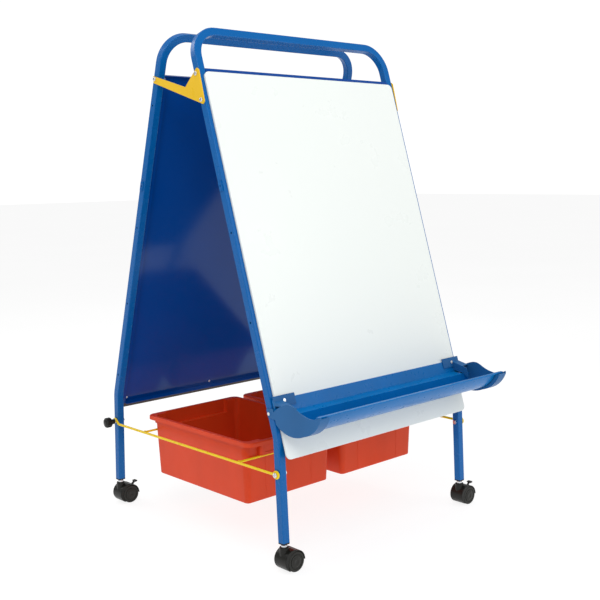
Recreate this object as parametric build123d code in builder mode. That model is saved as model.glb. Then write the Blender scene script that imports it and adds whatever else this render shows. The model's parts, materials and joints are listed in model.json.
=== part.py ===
from build123d import *
from math import cos, radians, sin, sqrt, tan
import os

# Classroom easel: two leaning tube frames, boards, tray, wire rack, tubs, casters.
# Millimetres, +Z up, the front board faces -Y, the origin is on the floor under the middle.

# ---- driving dimensions ----
tube = 20.0              # square tube, outside
tube_wall = 1.5
tube_corner = 2.2
frame_width = 679.0      # over the outside faces of the legs
lean = 16.85             # frame lean from vertical, degrees
splay = 2.5              # lower leg lean, degrees
top_y = 54.032           # half distance between the top bars
knee_z = 322.0
knee_bend = 70.0         # bend radius at the knee
leg_end_z = 73.0         # underside of the leg tubes
bar_run = 990.0          # knee to top bar, along the slope
bar_bend = 66.0          # bend radius of the top corners
pivot_run = 107.6        # top bar to the hinge bolts, along the slope
middle_y = 62.8          # centre line between the frames

board_inset = 10.5       # board edge in from the outside of the legs
board_height = 936.0
board_low = -53.0        # lower edge of the board, along the slope
board_thick = 6.0
pan_low = -34.0
pan_height = 927.0
pan_depth = 12.0
pan_sheet = 1.2
pan_shelf = 19.0         # depth of the bottom edge
pan_lip = 14.0           # width of the return lips
pan_play = 0.2           # between pan and tube
rivet_d = 3.2
rivet_edge = 24.5        # rivets in from the tubes

wire = 6.4
cross_wire = 5.6
rack_z = 238.0
rack_cross = 202.0       # half distance between the cross wires
eye_slack = 1.0          # eye round its bolt
hook_slack = 0.4         # hook round its stud
stud_rise = 6.0
tub_wall = 2.6
tub_floor_z = 119.0
tub_rim_z = 281.0
tub_band = 19.0          # plain band under the rim
tub_grip = 216.0         # width of the end grips that sit on the cross wires
tub_width = 310.0        # over the rim
tub_length = 436.0       # over the rim
tub_skirt = 11.0         # depth of the turned-down rim
tub_draft = 2.8          # taper of the tub body, degrees
tub_gap = 21.0           # between the two rims

wheel_d = 50.0
wheel_wide = 17.5
trail = 20.0
bolt_d = 6.0
bolt_fit = 0.05          # running clearance on the radius
bolt_slack = 0.2         # clearance hole, on the radius
screw_r = 2.0
side_hole_r = 2.6        # rows of holes along the legs

# ---- derived ----
half = tube / 2
leg_x = frame_width / 2 - half
face_x = frame_width / 2
sin_a, cos_a = sin(radians(lean)), cos(radians(lean))
knee_y = top_y + bar_run * sin_a
foot_y = knee_y + (knee_z - leg_end_z) * tan(radians(splay))
board_width = frame_width - 2 * board_inset
pivot_z = knee_z + (bar_run - pivot_run) * cos_a
pivot_y = knee_y - (pivot_z - knee_z) * tan(radians(lean))
eye_loop = bolt_d / 2 + wire / 2 + eye_slack
hook_loop = bolt_d / 2 + wire / 2 + hook_slack
lower_bolt_z = pivot_z - 62
wire_x = face_x + 0.1 + wire / 2
tub_ledge_z = rack_z + cross_wire / 2 + 0.05
stud_z = rack_z + stud_rise


def leg_y(z):
    if z >= knee_z:
        return knee_y - (z - knee_z) * tan(radians(lean))
    return knee_y + (knee_z - z) * tan(radians(splay))


eye_y = middle_y - leg_y(rack_z)
stud_y = middle_y + leg_y(stud_z)
front_bolts = ((middle_y - pivot_y, pivot_z), (middle_y - leg_y(lower_bolt_z), lower_bolt_z))
hinge_spot = (middle_y + pivot_y, pivot_z)


def frame_plane(side):
    """Plane of a leaning frame: x across, y up the slope, z outward. side -1 front, 1 rear."""
    return Plane(
        origin=(0, middle_y + side * knee_y, knee_z),
        x_dir=(-side, 0, 0),
        z_dir=(0, side * cos_a, sin_a),
    )


def side_plane(x):
    """Vertical plane across the easel: local x is +Y, local y is +Z, normal +X."""
    return Plane(origin=(x, 0, 0), x_dir=(0, 1, 0), z_dir=(1, 0, 0))


def save(part, name, colour):
    part.label = name
    part.color = Color(*colour)
    export_step(part, "parts/" + name + ".step")


BLUE = (0.0, 0.33, 0.66)
NAVY = (0.0, 0.16, 0.42)
WHITE = (0.93, 0.95, 0.94)
YELLOW = (0.92, 0.74, 0.08)
RED = (0.8, 0.17, 0.08)
BLACK = (0.05, 0.05, 0.05)
STEEL = (0.72, 0.73, 0.74)

os.makedirs("parts", exist_ok=True)

# hole heights along the outer faces of the legs
hole_heights = (1103.0, 793.0, 586.0)
clip_z = 902.0
ear_z = 380.0


# ---- bent tube frames ----
def tube_frame(side):
    turn = radians(lean - splay)
    setback = knee_bend * tan(turn / 2)
    with BuildPart() as frame:
        # path of one leg, across the top bar, down the other leg
        with BuildLine() as path:
            pts = []
            for sx in (-1, 1):
                x = sx * leg_x
                low = Vector(x, middle_y + side * foot_y, leg_end_z)
                knee = Vector(x, middle_y + side * knee_y, knee_z)
                up = Vector(0, -side * sin_a, cos_a)
                down = (low - knee).normalized()
                a = knee + down * setback
                b = knee + up * setback
                bisect = (down + up).normalized()
                dist = knee_bend / cos(turn / 2)
                centre = knee + bisect * dist
                mid = centre - bisect * knee_bend
                corner = knee + up * bar_run
                c = corner - up * bar_bend
                inward = Vector(-sx, 0, 0)
                d = corner + inward * bar_bend
                bend_mid = corner + (inward - up) * bar_bend * (1 - sqrt(0.5))
                pts.append((low, a, mid, b, c, bend_mid, d))
            left, right = pts
            Line(left[0], left[1])
            ThreePointArc(left[1], left[2], left[3])
            Line(left[3], left[4])
            ThreePointArc(left[4], left[5], left[6])
            Line(left[6], right[6])
            ThreePointArc(right[6], right[5], right[4])
            Line(right[4], right[3])
            ThreePointArc(right[3], right[2], right[1])
            Line(right[1], right[0])
        start = Plane(
            origin=left[0], x_dir=(1, 0, 0), z_dir=(left[1] - left[0]).normalized()
        )
        with BuildSketch(start):
            RectangleRounded(tube, tube, tube_corner)
            RectangleRounded(
                tube - 2 * tube_wall, tube - 2 * tube_wall, tube_corner - tube_wall,
                mode=Mode.SUBTRACT,
            )
        sweep(path=path.wires()[0])
        # level the open ends
        with BuildSketch(Plane.XY.offset(leg_end_z)):
            with Locations((0, middle_y + side * foot_y)):
                Rectangle(2 * frame_width, 4 * tube)
        extrude(amount=-tube, mode=Mode.SUBTRACT)
        # cross holes through the legs: pivot or bracket, rack, rows of holes, clips
        with BuildSketch(side_plane(-face_x - 5)):
            if side > 0:
                with Locations((middle_y + pivot_y, pivot_z)):
                    Circle(bolt_d / 2 + bolt_fit)
                with Locations((stud_y, stud_z)):
                    Circle(bolt_d / 2)
            else:
                with Locations(*front_bolts, (eye_y, rack_z)):
                    Circle(bolt_d / 2 + bolt_slack)
        extrude(amount=frame_width + 10, mode=Mode.SUBTRACT)
        with BuildSketch(side_plane(-face_x - 5)) as small:
            heights = hole_heights[1:] if side < 0 else hole_heights
            for z in heights + (ear_z,):
                with Locations((middle_y + side * leg_y(z), z)):
                    Circle(screw_r if side < 0 and z == ear_z else side_hole_r)
        extrude(amount=5 + tube / 2, mode=Mode.SUBTRACT)
        extrude(
            small.sketch.moved(Location((frame_width + 10, 0, 0))),
            amount=-5 - tube / 2, mode=Mode.SUBTRACT,
        )
    return frame.part


save(tube_frame(-1), "front_frame", BLUE)
save(tube_frame(1), "rear_frame", BLUE)


# ---- steel pans between the tubes, with folded edges ----
def pan(side):
    plane = frame_plane(side)
    wide = frame_width - 2 * tube - 2 * pan_play
    mid = pan_low + pan_height / 2
    with BuildPart() as part:
        with BuildSketch(plane.offset(half - 0.1)):
            with Locations((0, mid)):
                Rectangle(wide, pan_height)
        extrude(amount=-pan_depth)
        with BuildSketch(plane.offset(half - 0.1 - pan_sheet)):
            with Locations((0, mid)):
                Rectangle(wide - 2 * pan_sheet, pan_height - 2 * pan_sheet)
        extrude(amount=-pan_depth, mode=Mode.SUBTRACT)
        # inner return lips on the long sides
        with BuildSketch(plane.offset(half - 0.1 - pan_depth)):
            for sx in (-1, 1):
                with Locations((sx * (wide / 2 - pan_lip / 2), mid)):
                    Rectangle(pan_lip, pan_height)
        extrude(amount=pan_sheet)
        # deeper shelf along the bottom edge
        with BuildSketch(plane.offset(half - 0.1)):
            with Locations((0, pan_low + pan_sheet / 2)):
                Rectangle(wide - 2 * pan_lip, pan_sheet)
        extrude(amount=-pan_shelf)
        with BuildSketch(plane.offset(half)):
            with Locations(*rivet_spots):
                Circle(rivet_d / 2)
        extrude(amount=-pan_sheet - 1, mode=Mode.SUBTRACT)
        # notches in the folded edges round the bolts through the legs
        notches = front_bolts if side < 0 else (hinge_spot,)
        for sx in (-1, 1):
            with BuildSketch(side_plane(sx * (wide / 2 + 1))):
                with Locations(*notches):
                    Circle(7.5)
            extrude(amount=-sx * (pan_lip + 3), mode=Mode.SUBTRACT)
    return part.part


tab_run = 84.0
tab_in = 31.6
tab_spots = ((tab_in - face_x, tab_run), (face_x - tab_in, tab_run))
rivet_x = face_x - tube - rivet_edge
rivet_spots = [
    (x, run) for x in (-rivet_x, 0, rivet_x)
    for run in (pan_low + 12, pan_low + pan_height - 22)
]


def rivets(side):
    plane = frame_plane(side)
    with BuildPart() as part:
        with BuildSketch(plane.offset(half - 0.1 - pan_sheet)):
            with Locations(*rivet_spots):
                Circle(rivet_d)
        extrude(amount=-1.6)
        fillet(part.faces().sort_by(Axis(plane.origin, plane.z_dir))[:6].edges(), 1.2)
        with BuildSketch(plane.offset(half - 0.1 - pan_sheet)):
            with Locations(*rivet_spots):
                Circle(rivet_d / 2)
        extrude(amount=pan_sheet + 3.6)
    return part.part


def board(side):
    plane = frame_plane(side)
    with BuildPart() as part:
        with BuildSketch(plane.offset(half)):
            with Locations((0, board_low + board_height / 2)):
                RectangleRounded(board_width, board_height, 14)
        extrude(amount=board_thick)
        outer = part.faces().sort_by(Axis(plane.origin, plane.z_dir))[-1]
        fillet(outer.edges(), 0.8)
        with BuildSketch(plane.offset(half - 1)):
            with Locations(*rivet_spots):
                Circle(rivet_d / 2)
        extrude(amount=4.6, mode=Mode.SUBTRACT)
        if side < 0:
            with BuildSketch(plane.offset(half + board_thick)):
                with Locations(*tab_spots):
                    Circle(screw_r)
            extrude(amount=-3.4, mode=Mode.SUBTRACT)
    return part.part


save(pan(-1), "front_pan", NAVY)
save(pan(1), "rear_pan", NAVY)
save(rivets(-1), "front_pan_rivets", WHITE)
save(rivets(1), "rear_pan_rivets", WHITE)
save(board(-1), "front_board", WHITE)
save(board(1), "rear_board", WHITE)

# ---- hinge brackets on the outer faces ----
plate = 3.0


def bracket(sx):
    start = face_x + 0.05 if sx > 0 else -face_x - 0.05
    y1, y2 = front_bolts[0][0], front_bolts[1][0]
    with BuildPart() as part:
        with BuildSketch(side_plane(start)) as outline:
            with BuildLine():
                Polyline(
                    (hinge_spot[0] + 8.5, pivot_z + 8.5),
                    (middle_y - 41, pivot_z - 29),
                    (y1 - 3.0, pivot_z + 13.5),
                    (y1 - 10.5, pivot_z + 9),
                    (y2 - 10.5, front_bolts[1][1] - 4),
                    (y2 - 5, front_bolts[1][1] - 10.5),
                    (y2 + 8, front_bolts[1][1] - 6),
                    (hinge_spot[0] + 6, pivot_z - 9),
                    close=True,
                )
            make_face()
            fillet(outline.vertices(), 3.0)
            with Locations(*front_bolts, hinge_spot):
                Circle(bolt_d / 2 + bolt_slack, mode=Mode.SUBTRACT)
        extrude(amount=sx * plate)
    return part.part


save(bracket(-1), "bracket_left", YELLOW)
save(bracket(1), "bracket_right", YELLOW)


def cross_bolts(spots, out_x, shank_end, head_r=5.2, head_h=3.6, shank_r=bolt_d / 2):
    """Round head bolts through the legs, heads outside, cross recess in the head."""
    with BuildPart() as part:
        for sx in (-1, 1):
            with BuildSketch(side_plane(sx * out_x)):
                with Locations(*spots):
                    Circle(head_r)
            extrude(amount=sx * head_h)
        fillet(part.faces().sort_by(Axis.X)[: len(spots)].edges(), 2.2)
        fillet(part.faces().sort_by(Axis.X)[-len(spots):].edges(), 2.2)
        for sx in (-1, 1):
            with BuildSketch(side_plane(sx * out_x)):
                with Locations(*spots):
                    Circle(shank_r)
            extrude(amount=-sx * (out_x - shank_end))
            with BuildSketch(side_plane(sx * (out_x + head_h))):
                with Locations(*spots):
                    Rectangle(5.2, 1.1)
                    Rectangle(1.1, 5.2)
            extrude(amount=-sx * 1.4, mode=Mode.SUBTRACT)
    return part.part


def lock_nuts(spots, at_x, shank_r=bolt_d / 2, across=10.0, high=5.0):
    with BuildPart() as part:
        for sx in (-1, 1):
            with BuildSketch(side_plane(sx * at_x)):
                with Locations(*spots):
                    RegularPolygon(across / 2, 6, major_radius=False)
                    Circle(shank_r, mode=Mode.SUBTRACT)
            extrude(amount=-sx * high)
    return part.part


inner_x = face_x - tube
bolt_out = face_x + 0.05 + plate
save(cross_bolts(front_bolts, bolt_out, inner_x - 6.5), "bracket_bolts", STEEL)
save(lock_nuts(front_bolts, inner_x), "bracket_nuts", STEEL)
save(cross_bolts((hinge_spot,), bolt_out, inner_x - 6.8), "pivot_bolts", STEEL)
save(lock_nuts((hinge_spot,), inner_x - 0.3), "pivot_nuts", STEEL)


# ---- small clips on the outer faces, half way up ----
def clips(side):
    y = middle_y + side * leg_y(clip_z)
    with BuildPart() as part:
        for sx in (-1, 1):
            with BuildSketch(side_plane(sx * face_x)):
                with Locations(Location((y, clip_z, 0), (0, 0, side * lean))):
                    RectangleRounded(12, 26, 3)
                    Circle(side_hole_r, mode=Mode.SUBTRACT)
            extrude(amount=sx * 2.4)
            with BuildSketch(side_plane(sx * (face_x + 2.4))):
                with Locations(Location((y, clip_z, 0), (0, 0, side * lean))):
                    with Locations((0, 9), (0, -9)):
                        Circle(2.4)
            extrude(amount=sx * 1.0)
    return part.part


save(clips(-1), "front_side_clips", BLUE)
save(clips(1), "rear_side_clips", BLUE)


# ---- plastic tray ----
def on_face(run, out):
    """Point (y, z) on the front frame: run up the slope, out from the tube centre plane."""
    return (
        middle_y - knee_y + run * sin_a - out * cos_a,
        knee_z + run * cos_a + out * sin_a,
    )


tray_gap = half + board_thick + 0.3
tray_half = face_x - 0.6
cap_thick = 3.0
cap_play = 0.3           # between the gutter ends and the caps
tab_off = 3.4            # tab over the back of the gutter
tab_thick = 2.6


def tray_y(out):
    """Y at a distance outward from the front knees."""
    return middle_y - knee_y - out


def gutter():
    top_back = on_face(89, tray_gap)
    low_back = on_face(54, tray_gap)
    top_front = on_face(88, tray_gap + 3)
    low_front = on_face(57, tray_gap + 3)
    with BuildPart() as part:
        with BuildSketch(side_plane(-tray_half)):
            with BuildLine():
                Polyline(low_back, top_back, top_front, low_front,
                         (tray_y(33), low_front[1] - 1.5), (tray_y(34), 357.0))
                ThreePointArc((tray_y(34), 357.0), (tray_y(67), 348.0), (tray_y(99), 356.0))
                ThreePointArc((tray_y(99), 356.0), (tray_y(122), 372.0), (tray_y(137), 396.0))
                Polyline((tray_y(137), 396.0), (tray_y(139), 398.5), (tray_y(147), 398.5),
                         (tray_y(147), 395.0), (tray_y(141), 394.5))
                ThreePointArc((tray_y(141), 394.5), (tray_y(124.5), 369.5), (tray_y(100), 352.8))
                ThreePointArc((tray_y(100), 352.8), (tray_y(67), 344.8), (tray_y(30.5), 353.5))
                Polyline((tray_y(30.5), 353.5), (tray_y(30), low_front[1] - 4.6), low_back)
            make_face()
        extrude(amount=2 * tray_half)
        with BuildSketch(frame_plane(-1).offset(tray_gap - 1)):
            with Locations(*tab_spots):
                Circle(2.2)
        extrude(amount=6, mode=Mode.SUBTRACT)
    return part.part


def cap_outline():
    """Closed outline of an end cap side plate."""
    back_low = on_face(33, tray_gap)
    back_top = on_face(62, tray_gap)
    with BuildLine() as line:
        Line(back_low, back_top)
        Spline(back_top, (tray_y(27), 405), (tray_y(57), 411), (tray_y(85), 399),
               (tray_y(115), 391), (tray_y(145), 396), tangents=((-1, 1), (-1, 0.35)))
        Polyline((tray_y(145), 396), (tray_y(153), 400.5), (tray_y(155), 396))
        ThreePointArc((tray_y(155), 396), (tray_y(133), 363.5), (tray_y(100), 346.5))
        ThreePointArc((tray_y(100), 346.5), (tray_y(64), 338.5), back_low)
    return line.line


def end_cap(sx):
    inner = sx * (tray_half + cap_play)
    low_back = on_face(54, tray_gap)
    with BuildPart() as part:
        # side plate with an ear over the leg
        with BuildSketch(side_plane(inner)):
            add(cap_outline())
            make_face()
        extrude(amount=sx * cap_thick)
        with BuildSketch(side_plane(inner + sx * 0.5)):
            with BuildLine():
                Polyline(on_face(70, tray_gap), on_face(44, tray_gap),
                         (middle_y - leg_y(ear_z - 10) + 7, ear_z - 9),
                         (middle_y - leg_y(ear_z + 10) + 7, ear_z + 9), close=True)
            make_face()
            with Locations((middle_y - leg_y(ear_z), ear_z)):
                Circle(2.2, mode=Mode.SUBTRACT)
        extrude(amount=sx * 2.5)
        # shell wrapped under the end of the gutter
        with BuildSketch(side_plane(inner)):
            with BuildLine():
                Polyline(on_face(34, tray_gap), on_face(48, tray_gap), (tray_y(26), 371.0),
                         (tray_y(27), 352.4))
                ThreePointArc((tray_y(27), 352.4), (tray_y(67), 344.2), (tray_y(100.5), 352.0))
                ThreePointArc((tray_y(100.5), 352.0), (tray_y(125.5), 368.9), (tray_y(142), 394))
                Polyline((tray_y(142), 394), (tray_y(148), 394.5), (tray_y(155), 396))
                ThreePointArc((tray_y(155), 396), (tray_y(133), 363.5), (tray_y(100), 346.5))
                ThreePointArc((tray_y(100), 346.5), (tray_y(64), 338.5), on_face(34, tray_gap))
            make_face()
        extrude(amount=-sx * 26)
        # rib standing in the gutter
        with BuildSketch(side_plane(inner - sx * 24)):
            with BuildLine():
                Polyline(on_face(62, tray_gap + tab_off), on_face(86, tray_gap + tab_off),
                         (tray_y(21), 404), (tray_y(45), 398), (tray_y(51), 372),
                         (tray_y(33), low_back[1] + 5), close=True)
            make_face()
        extrude(amount=-sx * 2.4)
        with BuildSketch(side_plane(inner)):
            with BuildLine():
                Polyline(on_face(76, tray_gap + tab_off), on_face(86, tray_gap + tab_off),
                         (tray_y(21), 404), (tray_y(31), 401.5), close=True)
            make_face()
        extrude(amount=-sx * 26.4)
        # tab on the board face
        with BuildSketch(frame_plane(-1).offset(tray_gap + tab_off)):
            with Locations((sx * (tray_half - 33), tab_run)):
                Rectangle(66, 26)
            with Locations(*tab_spots):
                Circle(2.2, mode=Mode.SUBTRACT)
        extrude(amount=tab_thick)
    return part.part


save(gutter(), "tray_gutter", BLUE)
save(end_cap(-1), "tray_end_cap_left", (0.1, 0.35, 0.6))
save(end_cap(1), "tray_end_cap_right", (0.1, 0.35, 0.6))


def tray_screws():
    """Tab screws through the board edge, ear screws into the legs."""
    tab_plane = frame_plane(-1).offset(tray_gap + tab_off + tab_thick)
    ear = (middle_y - leg_y(ear_z), ear_z)
    ear_x = tray_half + cap_play + cap_thick
    with BuildPart() as part:
        with BuildSketch(tab_plane):
            with Locations(*tab_spots):
                Circle(4.0)
        extrude(amount=1.8)
        with BuildSketch(tab_plane):
            with Locations(*tab_spots):
                Circle(screw_r)
        extrude(amount=-9.4)
        for sx in (-1, 1):
            with BuildSketch(side_plane(sx * ear_x)):
                with Locations(ear):
                    Circle(4.0)
            extrude(amount=sx * 2.2)
            with BuildSketch(side_plane(sx * ear_x)):
                with Locations(ear):
                    Circle(screw_r)
            extrude(amount=-sx * (ear_x - face_x + 3))
    return part.part


save(tray_screws(), "tray_screws", STEEL)

# ---- wire rack: side wires with a closed eye and an open hook, two cross wires ----
rise = 40.0              # slope of the rise to the hook, degrees
rise_bend = 10.0
hook_end = -28.0         # where the hook stops, degrees from the horizontal
rise_y = stud_y - (
    (stud_rise * cos(radians(rise)) + hook_loop + rise_bend * (1 - cos(radians(rise))))
    / sin(radians(rise))
)


def on_rise(angle):
    turn = radians(angle)
    return rise_y + rise_bend * sin(turn), rack_z + rise_bend * (1 - cos(turn))


def on_hook(angle):
    turn = radians(angle)
    return stud_y + hook_loop * cos(turn), stud_z + hook_loop * sin(turn)


def rack_side(sx):
    x = sx * wire_x
    with BuildPart() as part:
        # closed eye round the front bolt
        with BuildLine(side_plane(x)) as loop:
            CenterArc((eye_y, rack_z), eye_loop, 0, 360)
        with BuildSketch(Plane(origin=(x, eye_y + eye_loop, rack_z), z_dir=(0, 0, 1))):
            Circle(wire / 2)
        sweep(path=loop.wires()[0])
        # straight run, rise and hook
        with BuildLine(side_plane(x)) as run:
            Polyline((eye_y + eye_loop, rack_z), (rise_y, rack_z))
            ThreePointArc((rise_y, rack_z), on_rise(rise / 2), on_rise(rise))
            Line(on_rise(rise), on_hook(rise + 90))
            ThreePointArc(on_hook(rise + 90), on_hook((rise + 90 + hook_end) / 2), on_hook(hook_end))
        with BuildSketch(Plane(origin=(x, eye_y + eye_loop, rack_z), z_dir=(0, 1, 0))):
            Circle(wire / 2)
        sweep(path=run.wires()[0])
        # clear the bolt through the eye
        with BuildSketch(side_plane(x - wire)):
            with Locations((eye_y, rack_z)):
                Circle(eye_loop - wire / 2 + bolt_fit)
        extrude(amount=2 * wire, mode=Mode.SUBTRACT)
    return part.part


def rack_cross_wire(side):
    """Cross wire under the tubs, with a weld collar at each end on the side wires."""
    y = middle_y + side * rack_cross
    reach = wire_x - wire / 2 + 0.5
    with BuildPart() as part:
        with BuildSketch(side_plane(-reach)):
            with Locations((y, rack_z)):
                Circle(cross_wire / 2)
        extrude(amount=2 * reach)
        for sx in (-1, 1):
            with BuildSketch(side_plane(sx * (wire_x - wire / 2 - 1.6))):
                with Locations((y, rack_z)):
                    Circle(wire / 2 + 0.2)
            extrude(amount=sx * 1.7)
    return part.part


save(rack_side(-1), "rack_side_wire_left", YELLOW)
save(rack_side(1), "rack_side_wire_right", YELLOW)
save(rack_cross_wire(-1), "rack_cross_wire_front", YELLOW)
save(rack_cross_wire(1), "rack_cross_wire_rear", YELLOW)

# ---- front eye bolts with a shoulder in the wire eye ----
eye_spot = (eye_y, rack_z)
wire_play = 0.3          # wire between the leg and the head or washer outside it
eye_out = face_x + wire + wire_play


def eye_bolts():
    with BuildPart() as part:
        for sx in (-1, 1):
            with BuildSketch(side_plane(sx * eye_out)):
                with Locations(eye_spot):
                    Circle(6.2)
            extrude(amount=sx * 3.4)
        fillet(part.faces().sort_by(Axis.X)[0].edges(), 2.2)
        fillet(part.faces().sort_by(Axis.X)[-1].edges(), 2.2)
        for sx in (-1, 1):
            with BuildSketch(side_plane(sx * face_x)):
                with Locations(eye_spot):
                    Circle(eye_loop - wire / 2)
            extrude(amount=sx * (wire + wire_play))
            with BuildSketch(side_plane(sx * face_x)):
                with Locations(eye_spot):
                    Circle(bolt_d / 2)
            extrude(amount=-sx * (tube + 6.5))
            with BuildSketch(side_plane(sx * (eye_out + 3.4))):
                with Locations(eye_spot):
                    Rectangle(6, 1.2)
                    Rectangle(1.2, 6)
            extrude(amount=-sx * 1.5, mode=Mode.SUBTRACT)
    return part.part


save(eye_bolts(), "rack_eye_bolts", STEEL)
save(lock_nuts((eye_spot,), inner_x), "rack_eye_nuts", STEEL)

# ---- rear studs, washers and knobs ----
stud_spot = (stud_y, stud_z)
washer_in = face_x + wire + wire_play
washer_thick = 1.6
knob_in = washer_in + washer_thick
knob_long = 26.0
knob_neck = 11.0
stud_out = knob_in + 20.0
knob_r = 14.0


def studs():
    with BuildPart() as part:
        for sx in (-1, 1):
            with BuildSketch(side_plane(sx * inner_x)):
                with Locations(stud_spot):
                    Circle(bolt_d / 2)
            extrude(amount=sx * (stud_out - inner_x))
            with BuildSketch(side_plane(sx * inner_x)):
                with Locations(stud_spot):
                    RegularPolygon(5, 6, major_radius=False)
            extrude(amount=-sx * 4)
    return part.part


def washer(sx):
    with BuildPart() as part:
        with BuildSketch(side_plane(sx * washer_in)):
            with Locations(stud_spot):
                Circle(8.0)
                Circle(bolt_d / 2 + bolt_fit, mode=Mode.SUBTRACT)
        extrude(amount=sx * washer_thick)
    return part.part


def knob(sx):
    inner = sx * knob_in
    with BuildPart() as part:
        with BuildSketch(side_plane(inner)):
            with Locations(stud_spot):
                Circle(7.0)
        extrude(amount=sx * knob_neck)
        with BuildSketch(side_plane(inner + sx * knob_neck)):
            with Locations(stud_spot):
                Circle(knob_r)
        extrude(amount=sx * (knob_long - knob_neck))
        rims = part.edges().filter_by(GeomType.CIRCLE).filter_by(lambda e: e.radius > knob_r - 1)
        fillet(rims, 2.6)
        with BuildSketch(side_plane(inner + sx * knob_neck)):
            with Locations(stud_spot):
                with PolarLocations(knob_r + 1.6, 8):
                    Circle(3.4)
        extrude(amount=sx * (knob_long - knob_neck), mode=Mode.SUBTRACT)
        with BuildSketch(side_plane(inner)):
            with Locations(stud_spot):
                Circle(bolt_d / 2 + bolt_fit)
        extrude(amount=sx * (stud_out - knob_in + 0.4), mode=Mode.SUBTRACT)
    return part.part


save(studs(), "rack_studs", STEEL)
save(washer(-1), "washer_left", STEEL)
save(washer(1), "washer_right", STEEL)
save(knob(-1), "knob_left", BLACK)
save(knob(1), "knob_right", BLACK)


# ---- tubs ----
def tub(sx):
    cx = sx * (tub_width + tub_gap) / 2
    spot = (cx, middle_y)
    body_high = tub_rim_z - tub_band - tub_floor_z
    neck_w, neck_l = tub_width - 18, 2 * rack_cross - cross_wire - 4
    floor_w = neck_w - 2 * body_high * tan(radians(tub_draft))
    floor_l = neck_l - 2 * body_high * tan(radians(tub_draft))
    band_w, band_l = neck_w + 3, neck_l + 3
    grip_l = 2 * rack_cross + 14
    with BuildPart() as part:
        with BuildSketch(Plane.XY.offset(tub_floor_z)):
            with Locations(spot):
                RectangleRounded(floor_w, floor_l, 12)
        extrude(amount=body_high, taper=-tub_draft)
        with BuildSketch(Plane.XY.offset(tub_rim_z - tub_band)):
            with Locations(spot):
                RectangleRounded(band_w, band_l, 14)
        extrude(amount=tub_band)
        with BuildSketch(Plane.XY.offset(tub_ledge_z)):
            with Locations(spot):
                RectangleRounded(tub_grip, grip_l, 6)
        extrude(amount=tub_rim_z - tub_ledge_z)
        with BuildSketch(Plane.XY.offset(tub_rim_z - tub_skirt)):
            with Locations(spot):
                RectangleRounded(tub_width, tub_length, 20)
        extrude(amount=tub_skirt)
        fillet(part.faces().sort_by(Axis.Z)[-1].edges(), 3.5)
        fillet(part.faces().sort_by(Axis.Z)[0].edges(), 4.0)
        # two thin upright ribs on each end face
        with BuildSketch(Plane.XY.offset(tub_floor_z + 6)):
            for dx in (-0.28, 0.28):
                with Locations((cx + dx * floor_w, middle_y)):
                    Rectangle(1.6, floor_l + 1.6)
        extrude(amount=tub_ledge_z - tub_floor_z - 8, taper=-tub_draft)
        # hollow: tapered body, band and end grips
        with BuildSketch(Plane.XY.offset(tub_floor_z + tub_wall)):
            with Locations(spot):
                RectangleRounded(floor_w - 2 * tub_wall, floor_l - 2 * tub_wall, 12 - tub_wall)
        extrude(amount=body_high + tub_band + 1, taper=-tub_draft, mode=Mode.SUBTRACT)
        with BuildSketch(Plane.XY.offset(tub_ledge_z + tub_wall)):
            with Locations(spot):
                RectangleRounded(tub_grip - 2 * tub_wall, grip_l - 2 * tub_wall, 4)
        extrude(amount=tub_rim_z - tub_ledge_z, mode=Mode.SUBTRACT)
        # hollow under the turned-down rim
        with BuildSketch(Plane.XY.offset(tub_rim_z - tub_skirt)):
            with Locations(spot):
                RectangleRounded(tub_width - 4.8, tub_length - 4.8, 17.6)
                RectangleRounded(band_w + 0.02, band_l + 0.02, 14, mode=Mode.SUBTRACT)
                RectangleRounded(tub_grip + 0.02, grip_l + 0.02, 6, mode=Mode.SUBTRACT)
        extrude(amount=tub_skirt - 3, mode=Mode.SUBTRACT)
        # recesses in the end grips
        for end in (-1, 1):
            with BuildSketch(Plane.XZ.offset(-middle_y + end * grip_l / 2)):
                with Locations((cx, tub_ledge_z + 14)):
                    with GridLocations(66, 1, 3, 1):
                        RectangleRounded(56, 15, 3)
            extrude(amount=-end * 1.4, mode=Mode.SUBTRACT)
    return part.part


save(tub(-1), "tub_left", RED)
save(tub(1), "tub_right", RED)

# ---- casters ----
axle_z = wheel_d / 2
web = 6.0
side_gap = 0.5
hood_shell = 2.3
boss_r = 11.5
wheel_room = 0.9         # wheel inside the hood, on the radius
axle_r = 3.0
axle_end = 2.0           # axle ends below the wheel faces
lever_pin = 1.5
hood_r = wheel_d / 2 + wheel_room + hood_shell
hood_wide = web + 2 * wheel_wide + 2 * side_gap
stem_r = 5.5
stem_low = axle_z + sqrt((wheel_d / 2) ** 2 - (trail - stem_r) ** 2) + 0.6
casters = (("front_left", -1, -1), ("front_right", 1, -1), ("rear_left", -1, 1),
           ("rear_right", 1, 1))
braked = ("front_right", "rear_left")
lever_x, lever_z = 13.5, axle_z + 17.0


def swivel(sx, side):
    return sx * leg_x, middle_y + side * foot_y


def leg_plug(sx, side):
    """Plug in the end of a leg with a flange under the tube."""
    x, y = swivel(sx, side)
    inside = tube - 2 * tube_wall - 0.3
    with BuildPart() as part:
        with BuildSketch(Plane.XY.offset(leg_end_z)):
            with Locations((x, y)):
                RectangleRounded(inside, inside, 1.4)
        with BuildSketch(Plane.XY.offset(leg_end_z + 26)):
            with Locations((x, y - side * 26 * tan(radians(splay)))):
                RectangleRounded(inside, inside, 1.4)
        loft()
        with BuildSketch(Plane.XY.offset(leg_end_z)):
            with Locations((x, y)):
                RectangleRounded(tube, tube, tube_corner)
        extrude(amount=-3)
        with BuildSketch(Plane.XY.offset(leg_end_z - 4)):
            with Locations((x, y)):
                Circle(stem_r + bolt_fit)
        extrude(amount=4 + 18, mode=Mode.SUBTRACT)
    return part.part


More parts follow.
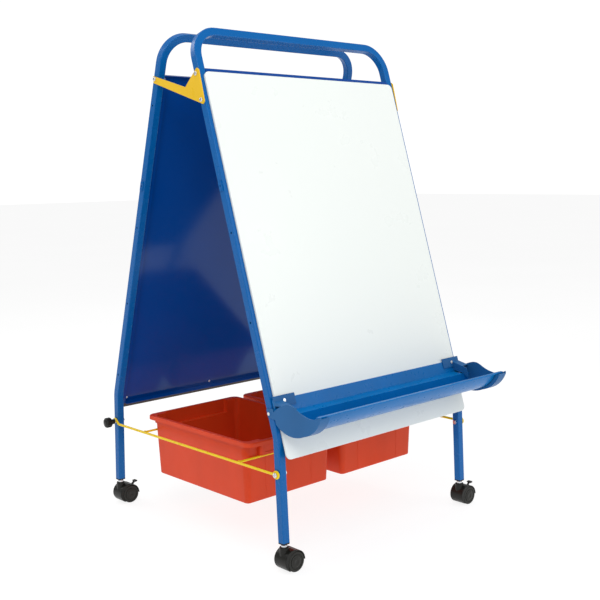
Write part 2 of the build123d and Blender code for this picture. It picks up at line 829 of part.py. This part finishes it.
def stem(sx, side):
    x, y = swivel(sx, side)
    with BuildPart() as part:
        with BuildSketch(Plane.XY.offset(stem_low)):
            with Locations((x, y)):
                Circle(stem_r)
        extrude(amount=leg_end_z + 16 - stem_low)
        with BuildSketch(Plane.XY.offset(leg_end_z - 9.5)):
            with Locations((x, y)):
                Circle(7.5)
        extrude(amount=3.5)
    return part.part


def hood(sx, side, has_lever):
    x, y = swivel(sx, side)
    ax = x + trail
    across = Plane(origin=(ax, y + hood_wide / 2, axle_z), x_dir=(1, 0, 0), z_dir=(0, -1, 0))
    with BuildPart() as part:
        with BuildSketch(across):
            Circle(hood_r)
            with Locations((-8, 4.5)):
                Circle(hood_r - 2)
        extrude(amount=hood_wide)
        fillet(part.edges().filter_by(Plane.XZ), 1.2)
        # boss round the stem
        with BuildSketch(Plane.XY.offset(axle_z - 2)):
            with Locations((x, y)):
                Circle(boss_r)
        extrude(amount=leg_end_z - 10.5 - axle_z + 2)
        fillet(part.faces().sort_by(Axis.Z)[-1].edges(), 2.0)
        with BuildSketch(across):
            Circle(wheel_d / 2 + wheel_room)
        extrude(amount=wheel_wide + 2 * side_gap, mode=Mode.SUBTRACT)
        with BuildSketch(across.offset(web + wheel_wide)):
            Circle(wheel_d / 2 + wheel_room)
        extrude(amount=wheel_wide + 2 * side_gap, mode=Mode.SUBTRACT)
        # open underneath
        with BuildSketch(Plane.XZ.offset(-y)):
            with BuildLine():
                Polyline((ax - 40, -5), (ax + 40, -5), (ax + 40, axle_z + 2),
                         (ax + 10, axle_z - 2), (ax - 14, 7), (ax - 40, 6), close=True)
            make_face()
        extrude(amount=60, both=True, mode=Mode.SUBTRACT)
        with BuildSketch(Plane.XY.offset(stem_low)):
            with Locations((x, y)):
                Circle(stem_r)
        extrude(amount=60, mode=Mode.SUBTRACT)
        with BuildSketch(across):
            Circle(axle_r)
        extrude(amount=hood_wide, mode=Mode.SUBTRACT)
        if has_lever:
            with BuildSketch(Plane.XZ.offset(-y)):
                with Locations((ax + lever_x, lever_z)):
                    Circle(lever_pin + bolt_fit)
            extrude(amount=web, both=True, mode=Mode.SUBTRACT)
            with BuildSketch(Plane.XY.offset(lever_z - 4.6)):
                with Locations((ax + lever_x + 15.4, y)):
                    Rectangle(40, 3.4)
            extrude(amount=30, mode=Mode.SUBTRACT)
    return part.part


def axle(sx, side):
    x, y = swivel(sx, side)
    plane = Plane(origin=(x + trail, y, axle_z), x_dir=(1, 0, 0), z_dir=(0, -1, 0))
    with BuildPart() as part:
        with BuildSketch(plane):
            Circle(axle_r)
        extrude(amount=hood_wide / 2 - axle_end, both=True)
    return part.part


def wheel(sx, side, end):
    """One wheel of a twin pair; end -1 is the wheel on the -Y side."""
    x, y = swivel(sx, side)
    inner = y + end * (web / 2 + side_gap)
    plane = Plane(origin=(x + trail, inner, axle_z), x_dir=(1, 0, 0), z_dir=(0, end, 0))
    with BuildPart() as part:
        with BuildSketch(plane):
            Circle(wheel_d / 2)
        extrude(amount=wheel_wide)
        rims = part.edges().filter_by(GeomType.CIRCLE)
        fillet(rims, 2.4)
        with BuildSketch(plane.offset(wheel_wide - 1.2)):
            Circle(18.5)
            Circle(16.9, mode=Mode.SUBTRACT)
        extrude(amount=2, mode=Mode.SUBTRACT)
        with BuildSketch(plane):
            Circle(axle_r + bolt_fit)
        extrude(amount=hood_wide / 2 - axle_end - web / 2 - side_gap + 0.5, mode=Mode.SUBTRACT)
    return part.part


def lever(sx, side):
    x, y = swivel(sx, side)
    px, pz = x + trail + lever_x, lever_z
    plane = Plane(origin=(px, y, pz), x_dir=(1, 0, 0), z_dir=(0, -1, 0))
    with BuildPart() as part:
        with BuildSketch(plane):
            Circle(4.0)
            with BuildLine():
                Polyline((-1, 4.0), (4, 0.5), (12.5, 9.0), (14, 13.5), (9, 13.5), close=True)
            make_face()
        extrude(amount=1.5, both=True)
        with BuildSketch(plane):
            with BuildLine():
                Polyline((10.5, 10.0), (18, 11.0), (17.5, 14.5), (8, 14.0), close=True)
            make_face()
        extrude(amount=6.5, both=True)
        with BuildSketch(plane):
            Circle(lever_pin)
        extrude(amount=web / 2, both=True)
    return part.part


for name, sx, side in casters:
    save(leg_plug(sx, side), "leg_plug_" + name, BLACK)
    save(stem(sx, side), "caster_stem_" + name, STEEL)
    save(hood(sx, side, name in braked), "caster_hood_" + name, BLACK)
    save(axle(sx, side), "caster_axle_" + name, STEEL)
    save(wheel(sx, side, -1), "wheel_a_" + name, BLACK)
    save(wheel(sx, side, 1), "wheel_b_" + name, BLACK)
    if name in braked:
        save(lever(sx, side), "brake_lever_" + name, BLACK)
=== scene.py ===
import json
from math import cos, pi, radians, sin

import bmesh
import bpy
from mathutils import Matrix, Vector


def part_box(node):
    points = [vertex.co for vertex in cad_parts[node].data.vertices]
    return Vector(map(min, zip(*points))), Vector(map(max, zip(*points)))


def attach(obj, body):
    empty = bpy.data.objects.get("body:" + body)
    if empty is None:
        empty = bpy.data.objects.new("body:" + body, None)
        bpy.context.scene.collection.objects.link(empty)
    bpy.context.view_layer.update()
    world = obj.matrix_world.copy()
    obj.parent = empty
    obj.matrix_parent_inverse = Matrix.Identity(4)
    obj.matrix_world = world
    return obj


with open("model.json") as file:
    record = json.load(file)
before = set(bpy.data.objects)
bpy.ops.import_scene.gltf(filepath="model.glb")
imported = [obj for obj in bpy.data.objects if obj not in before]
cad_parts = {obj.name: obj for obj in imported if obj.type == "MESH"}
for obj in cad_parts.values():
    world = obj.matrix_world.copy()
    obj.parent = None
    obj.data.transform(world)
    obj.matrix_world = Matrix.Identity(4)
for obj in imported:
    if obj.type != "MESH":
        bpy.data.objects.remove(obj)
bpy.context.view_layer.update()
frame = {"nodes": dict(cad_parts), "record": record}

# Lengths are in metres. A board's slope and thickness repeat the CAD source's values.
BOARD_LEAN = radians(16.85)
BOARD_THICK = 0.006
# Depth of brown fibreboard that shows on a board's inner side; the rest is white.
BROWN_DEPTH = 0.0006
CORNERS = ("front_left", "front_right", "rear_left", "rear_right")
SIDES = (("left", -1), ("right", 1))
# Noise textures mostly stay between these two values.
NOISE_LOW, NOISE_HIGH = 0.3, 0.7


def centre(node):
    low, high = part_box(node)
    return (Vector(low) + Vector(high)) / 2


# ---------------------------------------------------------------- materials
def new_material(name):
    material = bpy.data.materials.new(name)
    material.use_nodes = True
    tree = material.node_tree
    shader = tree.nodes["Principled BSDF"]
    return material, tree, shader


def object_coordinates(tree):
    return tree.nodes.new("ShaderNodeTexCoord").outputs["Object"]


def noise(tree, scale, detail=4.0, roughness=0.55, stretch=None):
    """Noise in the object's own coordinates; scale is in waves per metre."""
    texture = tree.nodes.new("ShaderNodeTexNoise")
    texture.inputs["Scale"].default_value = scale
    texture.inputs["Detail"].default_value = detail
    texture.inputs["Roughness"].default_value = roughness
    source = object_coordinates(tree)
    if stretch:
        mapping = tree.nodes.new("ShaderNodeMapping")
        mapping.inputs["Scale"].default_value = stretch
        tree.links.new(source, mapping.inputs["Vector"])
        source = mapping.outputs["Vector"]
    tree.links.new(source, texture.inputs["Vector"])
    return texture.outputs["Fac"]


def two_tone(tree, source, low, high):
    """Colour that goes from low to high with the noise."""
    node = tree.nodes.new("ShaderNodeValToRGB")
    stops = ((NOISE_LOW, low), (NOISE_HIGH, high))
    for element, (place, colour) in zip(node.color_ramp.elements, stops):
        element.position = place
        element.color = (*colour, 1.0)
    tree.links.new(source, node.inputs["Fac"])
    return node.outputs["Color"]


def spread(tree, source, low, high):
    """Number that goes from low to high with the noise."""
    node = tree.nodes.new("ShaderNodeMapRange")
    node.inputs["From Min"].default_value = NOISE_LOW
    node.inputs["From Max"].default_value = NOISE_HIGH
    node.inputs["To Min"].default_value = low
    node.inputs["To Max"].default_value = high
    tree.links.new(source, node.inputs["Value"])
    return node.outputs["Result"]


def bump(tree, shader, source, strength, distance):
    node = tree.nodes.new("ShaderNodeBump")
    node.inputs["Strength"].default_value = strength
    node.inputs["Distance"].default_value = distance
    tree.links.new(source, node.inputs["Height"])
    tree.links.new(node.outputs["Normal"], shader.inputs["Normal"])


def shade(colour, factor):
    return tuple(min(1.0, c * factor) for c in colour)


def coated_metal(name, colour, rough, peel=0.04, coat=0.05):
    """Powder coat or enamel: slow colour drift, orange peel, uneven gloss."""
    material, tree, shader = new_material(name)
    drift = noise(tree, 5.0, 3.0)
    tint = two_tone(tree, drift, shade(colour, 0.96), shade(colour, 1.04))
    tree.links.new(tint, shader.inputs["Base Color"])
    gloss = spread(tree, noise(tree, 40.0, 3.0), rough * 0.8, rough * 1.25)
    tree.links.new(gloss, shader.inputs["Roughness"])
    bump(tree, shader, noise(tree, 900.0, 2.0), peel, 0.0002)
    shader.inputs["Coat Weight"].default_value = coat
    shader.inputs["Coat Roughness"].default_value = 0.12
    shader.inputs["Specular IOR Level"].default_value = 0.2
    return material


def moulded_plastic(name, colour, rough, grain=0.2, grain_scale=1400.0, sss=0.0):
    """Moulded plastic: flow-mark drift, fine grain, slight gloss change."""
    material, tree, shader = new_material(name)
    drift = noise(tree, 11.0, 4.0, 0.5, stretch=(1.0, 1.0, 0.35))
    tint = two_tone(tree, drift, shade(colour, 0.93), shade(colour, 1.06))
    tree.links.new(tint, shader.inputs["Base Color"])
    gloss = spread(tree, noise(tree, 60.0, 3.0), rough * 0.85, rough * 1.2)
    tree.links.new(gloss, shader.inputs["Roughness"])
    bump(tree, shader, noise(tree, grain_scale, 2.0), grain, 0.0002)
    shader.inputs["Specular IOR Level"].default_value = 0.22
    if sss:
        shader.inputs["Subsurface Weight"].default_value = sss
        shader.inputs["Subsurface Radius"].default_value = (0.004, 0.001, 0.0006)
    return material


def zinc_steel(name):
    """Bright zinc plate: patches of two greys, uneven gloss."""
    material, tree, shader = new_material(name)
    shader.inputs["Metallic"].default_value = 1.0
    patches = noise(tree, 300.0, 3.0)
    tint = two_tone(tree, patches, (0.62, 0.63, 0.64), (0.8, 0.81, 0.83))
    tree.links.new(tint, shader.inputs["Base Color"])
    gloss = spread(tree, noise(tree, 700.0), 0.2, 0.36)
    tree.links.new(gloss, shader.inputs["Roughness"])
    bump(tree, shader, noise(tree, 2500.0), 0.15, 0.0001)
    return material


def board_material(name, side):
    """Dry-wipe face outside, brown fibreboard inside; side -1 front, 1 rear."""
    material, tree, shader = new_material(name)
    board = frame["nodes"]["front_board" if side < 0 else "rear_board"]
    normal = Vector((0.0, side * cos(BOARD_LEAN), sin(BOARD_LEAN)))
    # how far the white face stands out along the board's outward normal
    outer = max(v.co.dot(normal) for v in board.data.vertices)
    dot = tree.nodes.new("ShaderNodeVectorMath")
    dot.operation = "DOT_PRODUCT"
    dot.inputs[1].default_value = normal
    tree.links.new(object_coordinates(tree), dot.inputs[0])
    outside = tree.nodes.new("ShaderNodeMath")
    outside.operation = "GREATER_THAN"
    outside.inputs[1].default_value = outer - BOARD_THICK + BROWN_DEPTH
    tree.links.new(dot.outputs["Value"], outside.inputs[0])
    white = two_tone(tree, noise(tree, 3.5, 6.0, 0.6),
                     (0.846, 0.886, 0.858), (0.85, 0.89, 0.862))
    brown = two_tone(tree, noise(tree, 260.0, 6.0, 0.75),
                     (0.018, 0.011, 0.008), (0.05, 0.03, 0.02))
    mix = tree.nodes.new("ShaderNodeMix")
    mix.data_type = "RGBA"
    tree.links.new(outside.outputs["Value"], mix.inputs["Factor"])
    tree.links.new(brown, mix.inputs["A"])
    tree.links.new(white, mix.inputs["B"])
    tree.links.new(mix.outputs["Result"], shader.inputs["Base Color"])
    gloss = spread(tree, noise(tree, 9.0, 5.0), 0.27, 0.29)
    tree.links.new(gloss, shader.inputs["Roughness"])
    bump(tree, shader, noise(tree, 500.0), 0.02, 0.0001)
    return material


# Material slot of the record: its material here. The number after a colour is the roughness.
MATERIALS = {
    "blue_frame_paint": coated_metal("blue_powder_coat", (0.0, 0.112, 0.375), 0.26),
    # The pan's colour is the frame's blue made darker: painted shade for the pan's inside,
    # which sits behind the front board. Its higher gloss and coat are real.
    "pan_enamel": coated_metal("navy_enamel_painted_shade", (0.0, 0.056, 0.285), 0.12, peel=0.03, coat=0.25),
    "tray_plastic": moulded_plastic("tray_blue", (0.0, 0.15, 0.44), 0.3, grain=0.08),
    "end_cap_plastic": moulded_plastic("end_cap_blue", (0.014, 0.115, 0.31), 0.38),
    "white_rivet": coated_metal("rivet_white", (0.7, 0.74, 0.78), 0.3),
    "yellow_bracket_paint": coated_metal("bracket_yellow", (0.84, 0.52, 0.016), 0.32),
    "yellow_wire_coat": coated_metal("wire_yellow", (0.86, 0.6, 0.008), 0.3),
    "tub_plastic": moulded_plastic("tub_red", (0.71, 0.055, 0.01), 0.36, grain=0.12,
                                   grain_scale=1100.0, sss=0.04),
    "knob_plastic": moulded_plastic("knob_black", (0.012, 0.012, 0.011), 0.38, grain=0.3),
    "plug_plastic": moulded_plastic("plug_black", (0.012, 0.012, 0.014), 0.5, grain=0.3),
    "caster_plastic": moulded_plastic("caster_black", (0.013, 0.013, 0.011), 0.33, grain=0.35),
    "wheel_plastic": moulded_plastic("wheel_black", (0.02, 0.02, 0.017), 0.36, grain=0.35),
    "zinc_steel": zinc_steel("zinc_steel"),
}
BOARDS = {
    "front_board": board_material("front_board_skin", -1),
    "rear_board": board_material("rear_board_skin", 1),
}


def dress_nodes():
    for entry in frame["record"]["subparts"]:
        node = frame["nodes"][entry["node"]]
        material = BOARDS.get(entry["node"]) or MATERIALS[entry["material_slot"]]
        node.data.materials.clear()
        node.data.materials.append(material)


dress_nodes()


# ---------------------------------------------------------------- small detail pieces
# Each profile is made of (radius, height) pairs, from the inner end to the outer one.
WHEEL_CAP = (
    (0.0166, -0.0006), (0.0166, 0.0), (0.0159, 0.00055), (0.0149, 0.0006),
    (0.0142, 0.0001), (0.0136, 0.0001), (0.0128, 0.0005), (0.0095, 0.0009),
    (0.0056, 0.001), (0.0045, 0.0006), (0.0036, 0.0002), (0.001, 0.0001),
)
WELD_BEAD = (
    (0.0029, 0.0), (0.0036, 0.0004), (0.0043, 0.0012),
    (0.0046, 0.002), (0.0047, 0.003), (0.004, 0.0038),
)
KNOB_CAP = (
    (0.0092, -0.0006), (0.0092, 0.0001), (0.0084, 0.0009),
    (0.006, 0.0016), (0.003, 0.0019), (0.001, 0.002),
)
# A bead starts this far in from the end of its cross wire.
WELD_INSET = 0.0042


def lathe(name, body, slot, spot, axis, profile, steps=48, waves=0, depth=0.0):
    """Turned piece that rides a body: the profile goes round the axis from spot.

    waves is the number of scallops round the rim, and depth is their share of the radius.
    """
    mesh = bmesh.new()
    turn = Vector(axis).to_track_quat("Z", "Y")
    rings = []
    for radius, height in profile:
        ring = []
        for i in range(steps):
            angle = 2 * pi * i / steps
            r = radius * (1 - depth * (0.5 - 0.5 * cos(waves * angle)))
            point = Vector((r * cos(angle), r * sin(angle), height))
            ring.append(mesh.verts.new(spot + turn @ point))
        rings.append(ring)
    for lower, upper in zip(rings, rings[1:]):
        for i in range(steps):
            j = (i + 1) % steps
            mesh.faces.new((lower[i], lower[j], upper[j], upper[i]))
    mesh.faces.new(list(reversed(rings[0])))
    mesh.faces.new(rings[-1])
    bmesh.ops.recalc_face_normals(mesh, faces=mesh.faces)
    data = bpy.data.meshes.new(name)
    mesh.to_mesh(data)
    mesh.free()
    piece = bpy.data.objects.new(name, data)
    bpy.context.collection.objects.link(piece)
    for face in data.polygons:
        face.use_smooth = len(face.vertices) == 4
    data.materials.append(MATERIALS[slot])
    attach(piece, body)


def wheel_caps():
    """Domed cover with a raised ring and a centre dimple on the outer face of each wheel."""
    for corner in CORNERS:
        for wheel, side in (("a", -1), ("b", 1)):
            node = "wheel_%s_%s" % (wheel, corner)
            low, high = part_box(node)
            spot = centre(node)
            spot.y = low[1] if side < 0 else high[1]
            lathe("wheel_cap_%s_%s" % (wheel, corner), node + "_body", "wheel_plastic",
                  spot, (0, side, 0), WHEEL_CAP)


def weld_beads():
    """Coated weld bead round each end of the rack cross wires."""
    for node in ("rack_cross_wire_front", "rack_cross_wire_rear"):
        low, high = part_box(node)
        middle = centre(node)
        for name, side in SIDES:
            end = low[0] if side < 0 else high[0]
            spot = Vector((end - side * WELD_INSET, middle.y, middle.z))
            lathe("%s_weld_%s" % (node, name), "rack", "yellow_wire_coat", spot,
                  (side, 0, 0), WELD_BEAD, steps=40, waves=7, depth=0.08)


def knob_caps():
    """Smooth domed end with a shallow rim on each clamping knob."""
    for name, side in SIDES:
        node = "knob_" + name
        low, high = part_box(node)
        spot = centre(node)
        spot.x = low[0] if side < 0 else high[0]
        lathe("knob_cap_" + name, "knob_" + name[0], "knob_plastic", spot, (side, 0, 0),
              KNOB_CAP)


wheel_caps()
weld_beads()
knob_caps()


# ---------------------------------------------------------------- studio
FLOOR_SIZE = 60
FLOOR_GLOW = 0.86
WORLD_LIGHT = 0.42
WORLD_SEEN = 1.05
# name, place, target, side length, power
LIGHTS = (
    ("key", (-2.4, -2.6, 3.0), (0, 0, 0.6), 1.8, 56),
    ("front_fill", (1.8, -3.4, 1.6), (0, 0, 0.7), 2.2, 26),
    ("back", (-1.2, 3.2, 2.6), (0, 0, 0.8), 1.8, 30),
    ("overhead", (0, 0, 4.2), (0, 0, 0), 3.0, 60),
)
# Camera fitted to the photograph; yaw turns from +Y towards +X, pitch looks down.
CAMERA_PLACE = (-1.7653, -1.9251, 0.9292)
CAMERA_LENS = 58.25
CAMERA_SHIFT = (-0.0252, 0.0291)
CAMERA_YAW = radians(43.405)
CAMERA_PITCH = radians(8.47)
CAMERA_ROLL = radians(-0.886)


def studio_floor():
    """Grey floor that glows, so that it shows nearly white with soft shadows."""
    bpy.ops.mesh.primitive_plane_add(size=FLOOR_SIZE, location=(0, 0, 0))
    plane = bpy.context.object
    plane.name = "studio_floor"
    material, tree, shader = new_material("floor_pale")
    tint = two_tone(tree, noise(tree, 0.8), (0.2, 0.2, 0.2), (0.22, 0.22, 0.22))
    tree.links.new(tint, shader.inputs["Base Color"])
    shader.inputs["Roughness"].default_value = 0.9
    shader.inputs["Specular IOR Level"].default_value = 0.0
    shader.inputs["Emission Color"].default_value = (1, 1, 1, 1)
    shader.inputs["Emission Strength"].default_value = FLOOR_GLOW
    plane.data.materials.append(material)


def surroundings():
    """White world: bright where the camera sees it, dimmer as a source of light."""
    world = bpy.data.worlds.new("studio")
    bpy.context.scene.world = world
    world.use_nodes = True
    tree = world.node_tree
    seen = tree.nodes.new("ShaderNodeLightPath")
    strength = tree.nodes.new("ShaderNodeMapRange")
    strength.inputs["To Min"].default_value = WORLD_LIGHT
    strength.inputs["To Max"].default_value = WORLD_SEEN
    background = tree.nodes["Background"]
    tree.links.new(seen.outputs["Is Camera Ray"], strength.inputs["Value"])
    tree.links.new(strength.outputs["Result"], background.inputs["Strength"])
    background.inputs["Color"].default_value = (1, 1, 1, 1)


def lights():
    for name, place, target, side, power in LIGHTS:
        data = bpy.data.lights.new(name, "AREA")
        data.shape = "RECTANGLE"
        data.size = data.size_y = side
        data.energy = power
        light = bpy.data.objects.new(name, data)
        bpy.context.collection.objects.link(light)
        light.location = place
        aim = Vector(target) - Vector(place)
        light.rotation_euler = aim.to_track_quat("-Z", "Y").to_euler()


def camera():
    data = bpy.data.cameras.new("camera")
    data.sensor_width = 36.0
    data.lens = CAMERA_LENS
    data.shift_x, data.shift_y = CAMERA_SHIFT
    cam = bpy.data.objects.new("camera", data)
    bpy.context.collection.objects.link(cam)
    forward = Vector((sin(CAMERA_YAW) * cos(CAMERA_PITCH), cos(CAMERA_YAW) * cos(CAMERA_PITCH),
                      -sin(CAMERA_PITCH)))
    right = Vector((cos(CAMERA_YAW), -sin(CAMERA_YAW), 0.0))
    up = right.cross(forward)
    turned_right = right * cos(CAMERA_ROLL) + up * sin(CAMERA_ROLL)
    turned_up = up * cos(CAMERA_ROLL) - right * sin(CAMERA_ROLL)
    turned = Matrix((turned_right, turned_up, -forward)).transposed()
    cam.matrix_world = Matrix.Translation(CAMERA_PLACE) @ turned.to_4x4()
    bpy.context.scene.camera = cam


studio_floor()
surroundings()
lights()
camera()
bpy.context.scene.view_settings.view_transform = "Standard"
